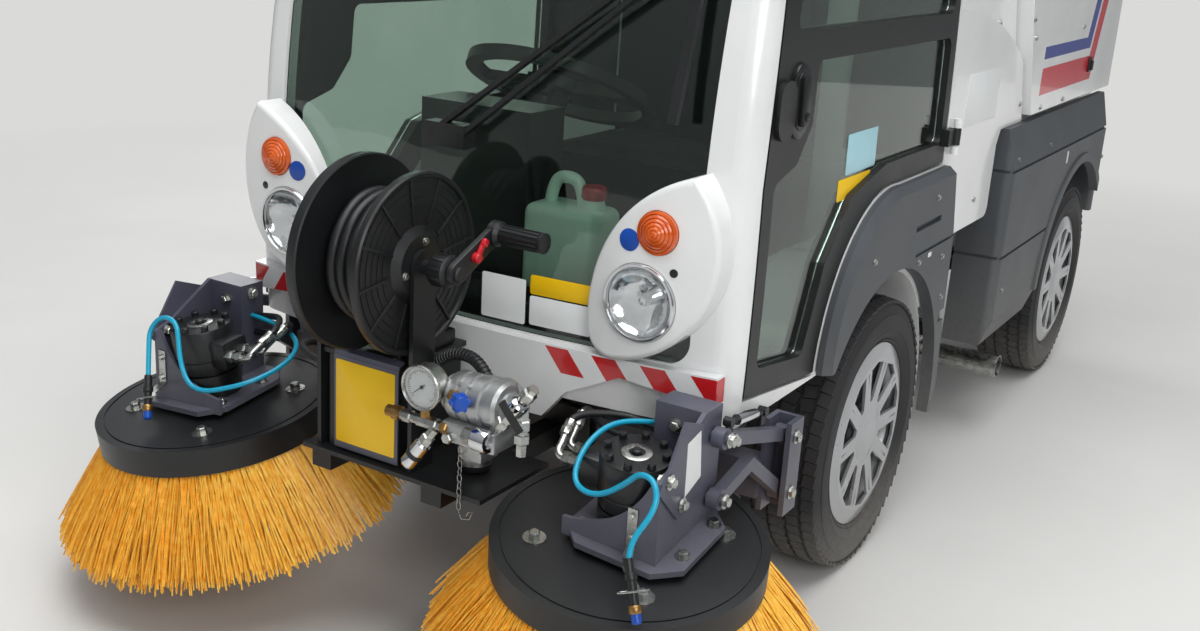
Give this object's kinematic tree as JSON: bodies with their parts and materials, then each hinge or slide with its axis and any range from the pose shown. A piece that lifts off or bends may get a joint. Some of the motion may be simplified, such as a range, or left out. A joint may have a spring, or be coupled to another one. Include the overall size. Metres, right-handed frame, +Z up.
{
  "type": "compact street sweeper truck",
  "caption": "Compact street sweeper with front side brushes on lifting arms, a front water pump and hose reel, a narrow cab with opening doors, steered rear wheels and a tipping debris hopper",
  "frame": {"origin": "on the ground, at the middle of the whole length and width", "axes": "+Z up, -Y forward, +X the vehicle's left"},
  "size_m": [1.5588, 3.1408, 1.99],
  "materials": {
    "white_paint": "glossy white paint",
    "black_paint": "satin black paint",
    "grey_steel": "grey paint on steel",
    "grey_plastic": "grained grey plastic",
    "black_plastic": "matt black plastic",
    "tinted_glass": "dark tinted glass",
    "lamp_reflector": "polished reflector",
    "amber_lens": "ribbed amber lens",
    "red_lens": "ribbed red lens",
    "tyre_rubber": "black tyre rubber",
    "silver_wheel": "silver lacquered wheel",
    "bristle": "yellow orange bristles",
    "hose_rubber": "black rubber hose",
    "pump_metal": "cast aluminium",
    "steel": "bright steel",
    "cast_black": "black cast motor",
    "seat_cloth": "dark grey seat cloth",
    "milky_tank": "milky green white plastic",
    "mirror_black": "black mirror housing"
  },
  "bodies": {
    "chassis": {"chassis_frame": "black_paint", "front_axle": "black_paint", "rear_axle": "black_paint", "cab_shell": "white_paint", "cab_roof": "white_paint", "cab_glass": "tinted_glass", "front_bumper": "white_paint", "headlamp_pods": "white_paint", "headlamps": "lamp_reflector", "turn_signals": "amber_lens", "front_fenders": "grey_plastic", "console": "black_plastic", "seat": "seat_cloth", "steering_wheel": "black_plastic", "fluid_tank": "milky_tank", "wipers": "black_plastic", "mirrors": "mirror_black", "beacon": "amber_lens", "brush_mounts": "grey_steel", "front_bracket": "black_paint", "pump_cabinet": "black_plastic", "pressure_pump": "pump_metal", "pump_filter": "black_plastic", "engine_block": "cast_black", "engine_cover": "white_paint", "rear_skirts": "grey_plastic", "tail_lamps": "red_lens", "suction_nozzle": "black_plastic", "exhaust_pipe": "steel"},
    "wheel_front_left": {"tyre_front_left": "tyre_rubber", "wheel_front_left": "silver_wheel"},
    "wheel_front_right": {"tyre_front_right": "tyre_rubber", "wheel_front_right": "silver_wheel"},
    "wheel_rear_left": {"tyre_rear_left": "tyre_rubber", "wheel_rear_left": "silver_wheel"},
    "wheel_rear_right": {"tyre_rear_right": "tyre_rubber", "wheel_rear_right": "silver_wheel"},
    "knuckle_left": {"knuckle_left": "black_paint"},
    "door_left": {"door_left": "black_paint", "door_glass_left": "tinted_glass"},
    "lower_link_left": {"lower_link_left": "grey_steel"},
    "upper_link_left": {"upper_link_left": "grey_steel"},
    "carrier_left": {"brush_carrier_left": "grey_steel", "brush_motor_left": "cast_black"},
    "brush_left": {"brush_disc_left": "black_paint", "brush_bristles_left": "bristle"},
    "knuckle_right": {"knuckle_right": "black_paint"},
    "door_right": {"door_right": "black_paint", "door_glass_right": "tinted_glass"},
    "lower_link_right": {"lower_link_right": "grey_steel"},
    "upper_link_right": {"upper_link_right": "grey_steel"},
    "carrier_right": {"brush_carrier_right": "grey_steel", "brush_motor_right": "cast_black"},
    "brush_right": {"brush_disc_right": "black_paint", "brush_bristles_right": "bristle"},
    "tie_rod": {"tie_rod": "black_paint"},
    "hopper": {"hopper": "white_paint"},
    "hatch": {"hopper_hatch": "white_paint"},
    "reel": {"hose_reel": "black_plastic", "wound_hose": "hose_rubber"}
  },
  "joints": [
    {"name": "spin_front_left", "type": "hinge", "parent": "chassis", "child": "wheel_front_left", "pos_m": [0.4625, -0.40956, 0.29], "axis": [1, 0, 0], "continuous": true},
    {"name": "steer_left", "type": "hinge", "parent": "chassis", "child": "knuckle_left", "pos_m": [0.355, 1.19044, 0.29], "axis": [0, 0, 1], "range_deg": [-28, 28]},
    {"name": "spin_rear_left", "type": "hinge", "parent": "knuckle_left", "child": "wheel_rear_left", "pos_m": [0.4625, 1.19044, 0.29], "axis": [1, 0, 0], "continuous": true},
    {"name": "open_door_left", "type": "hinge", "parent": "chassis", "child": "door_left", "pos_m": [0.545, -0.09156, 1.19], "axis": [0, 0, 1], "range_deg": [0, 70]},
    {"name": "lift_brush_left", "type": "hinge", "parent": "chassis", "child": "lower_link_left", "pos_m": [0.56, -0.92956, 0.359], "axis": [-1, 0, 0], "range_deg": [-18, 0]},
    {"name": "upper_link_left", "type": "hinge", "parent": "chassis", "child": "upper_link_left", "pos_m": [0.56, -0.92956, 0.463], "axis": [-1, 0, 0], "range_deg": [-18, 0]},
    {"name": "level_brush_left", "type": "hinge", "parent": "lower_link_left", "child": "carrier_left", "pos_m": [0.56, -1.17468, 0.42929], "axis": [-1, 0, 0], "range_deg": [0, 18]},
    {"name": "spin_brush_left", "type": "hinge", "parent": "carrier_left", "child": "brush_left", "pos_m": [0.46, -1.26456, 0.362], "axis": [0.086, -0.1373, 0.9868], "continuous": true},
    {"name": "spin_front_right", "type": "hinge", "parent": "chassis", "child": "wheel_front_right", "pos_m": [-0.4625, -0.40956, 0.29], "axis": [1, 0, 0], "continuous": true},
    {"name": "steer_right", "type": "hinge", "parent": "chassis", "child": "knuckle_right", "pos_m": [-0.355, 1.19044, 0.29], "axis": [0, 0, 1], "range_deg": [-28, 28]},
    {"name": "spin_rear_right", "type": "hinge", "parent": "knuckle_right", "child": "wheel_rear_right", "pos_m": [-0.4625, 1.19044, 0.29], "axis": [1, 0, 0], "continuous": true},
    {"name": "open_door_right", "type": "hinge", "parent": "chassis", "child": "door_right", "pos_m": [-0.545, -0.09156, 1.19], "axis": [0, 0, -1], "range_deg": [0, 70]},
    {"name": "lift_brush_right", "type": "hinge", "parent": "chassis", "child": "lower_link_right", "pos_m": [-0.56, -0.92956, 0.359], "axis": [-1, 0, 0], "range_deg": [-18, 0]},
    {"name": "upper_link_right", "type": "hinge", "parent": "chassis", "child": "upper_link_right", "pos_m": [-0.56, -0.92956, 0.463], "axis": [-1, 0, 0], "range_deg": [-18, 0]},
    {"name": "level_brush_right", "type": "hinge", "parent": "lower_link_right", "child": "carrier_right", "pos_m": [-0.56, -1.17468, 0.42929], "axis": [-1, 0, 0], "range_deg": [0, 18]},
    {"name": "spin_brush_right", "type": "hinge", "parent": "carrier_right", "child": "brush_right", "pos_m": [-0.46, -1.26456, 0.362], "axis": [-0.086, -0.1373, 0.9868], "continuous": true},
    {"name": "tie_rod", "type": "hinge", "parent": "knuckle_left", "child": "tie_rod", "pos_m": [0.355, 1.31044, 0.3], "axis": [0, 0, 1], "range_deg": [-28, 28]},
    {"name": "tip_hopper", "type": "hinge", "parent": "chassis", "child": "hopper", "pos_m": [0, 1.51544, 0.84], "axis": [-1, 0, 0], "range_deg": [0, 50]},
    {"name": "open_hatch", "type": "hinge", "parent": "hopper", "child": "hatch", "pos_m": [0, 1.51544, 1.805], "axis": [1, 0, 0], "range_deg": [0, 75]},
    {"name": "spin_reel", "type": "hinge", "parent": "chassis", "child": "reel", "pos_m": [0, -1.31456, 0.745], "axis": [1, 0, 0], "continuous": true}
  ],
  "couplings": [
    {"joint": "upper_link_left", "follows": "lift_brush_left", "ratio": 1},
    {"joint": "level_brush_left", "follows": "lift_brush_left", "ratio": -1},
    {"joint": "upper_link_right", "follows": "lift_brush_right", "ratio": 1},
    {"joint": "level_brush_right", "follows": "lift_brush_right", "ratio": -1},
    {"joint": "steer_right", "follows": "steer_left", "ratio": 1},
    {"joint": "tie_rod", "follows": "steer_left", "ratio": -1}
  ]
}
